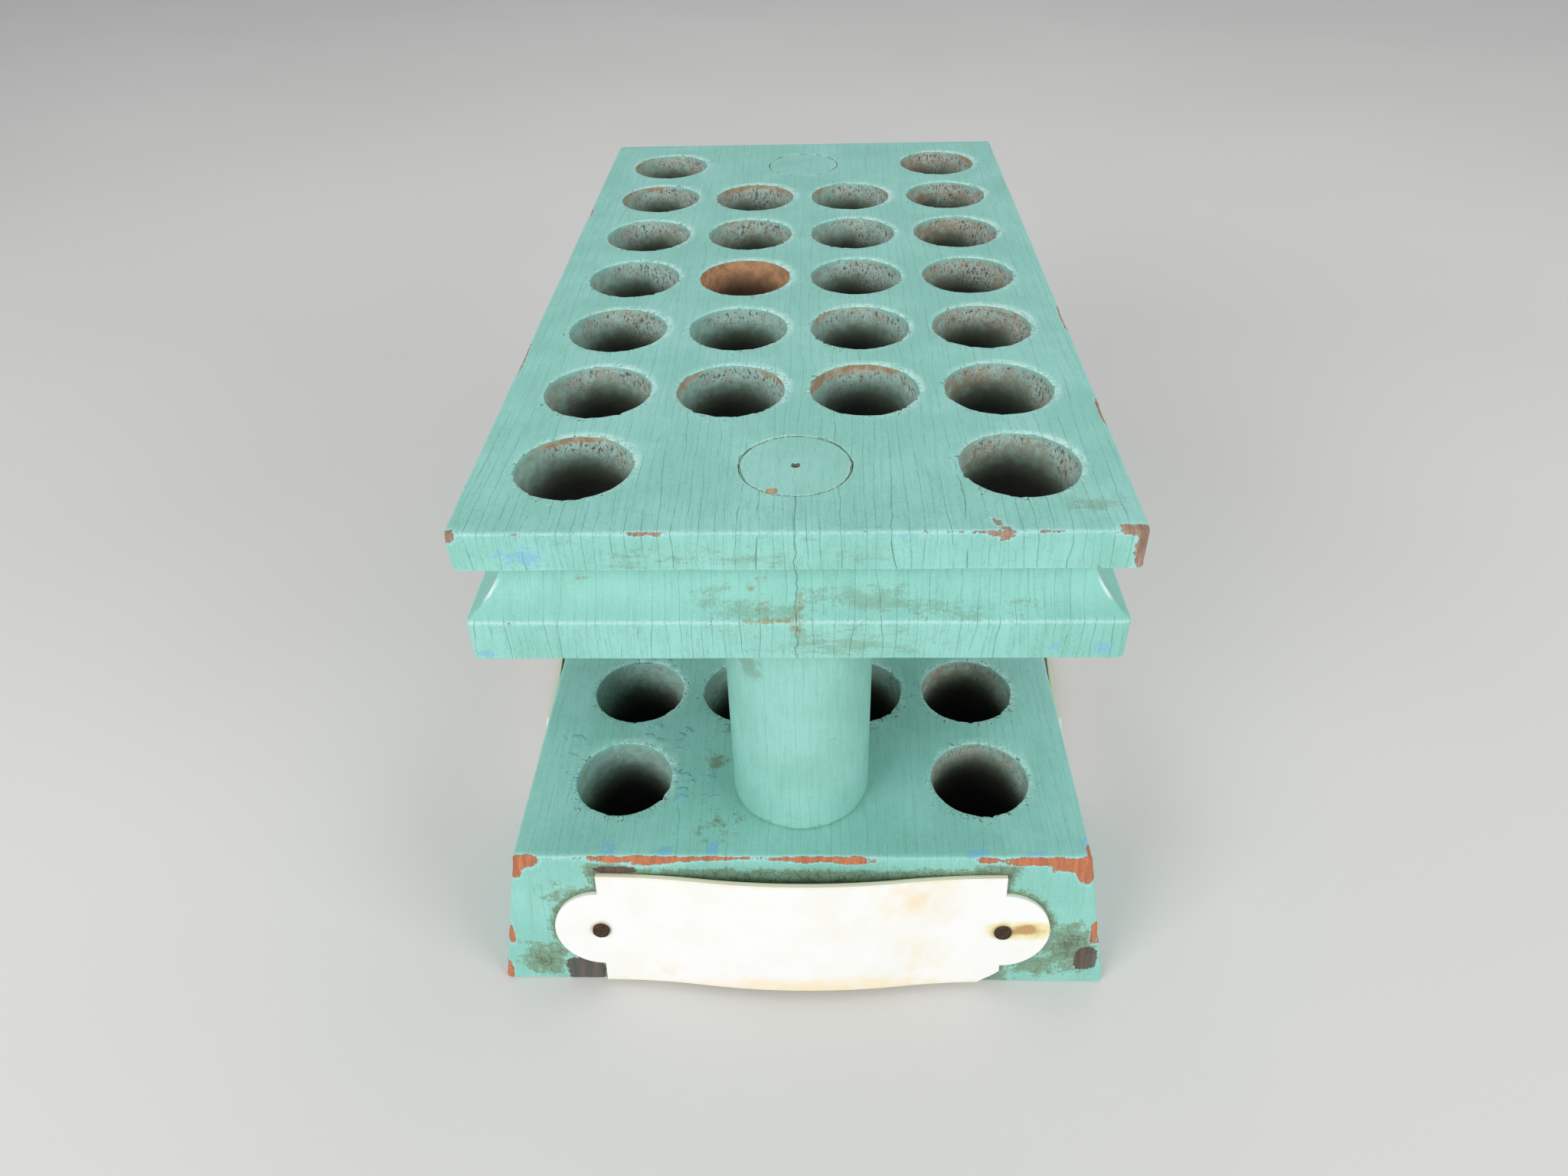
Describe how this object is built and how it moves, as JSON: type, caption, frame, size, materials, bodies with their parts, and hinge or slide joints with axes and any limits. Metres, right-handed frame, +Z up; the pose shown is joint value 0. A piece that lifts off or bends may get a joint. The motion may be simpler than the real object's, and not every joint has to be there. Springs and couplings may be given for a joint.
{
  "type": "tool display stand",
  "caption": "Painted wooden counter stand: a coved top block with a grid of tool holes, held over a tapered base with matching blind holes by turned posts, and bowed blank name plates.",
  "frame": {"origin": "centre of the base's underside, on the surface that it stands on", "axes": "+Z up; +Y along the stand's length, away from the end that carries the short plate; +X to the right as seen from that end"},
  "size_m": [0.129, 0.2063, 0.1049],
  "materials": {
    "painted_wood": "old gloss paint in teal, crazed and chipped to orange-brown wood",
    "painted_post": "the same teal paint on turned wood, with fine upright cracks",
    "plate_plastic": "thin glossy off-white sheet, yellowed at its edges",
    "pin_metal": "dark rusted iron"
  },
  "bodies": {
    "root": {"base_block": "painted_wood", "top_block": "painted_wood", "front_post": "painted_post", "rear_post": "painted_post", "front_plate": "plate_plastic", "left_plate": "plate_plastic", "right_plate": "plate_plastic", "plate_pins": "pin_metal"}
  },
  "joints": []
}
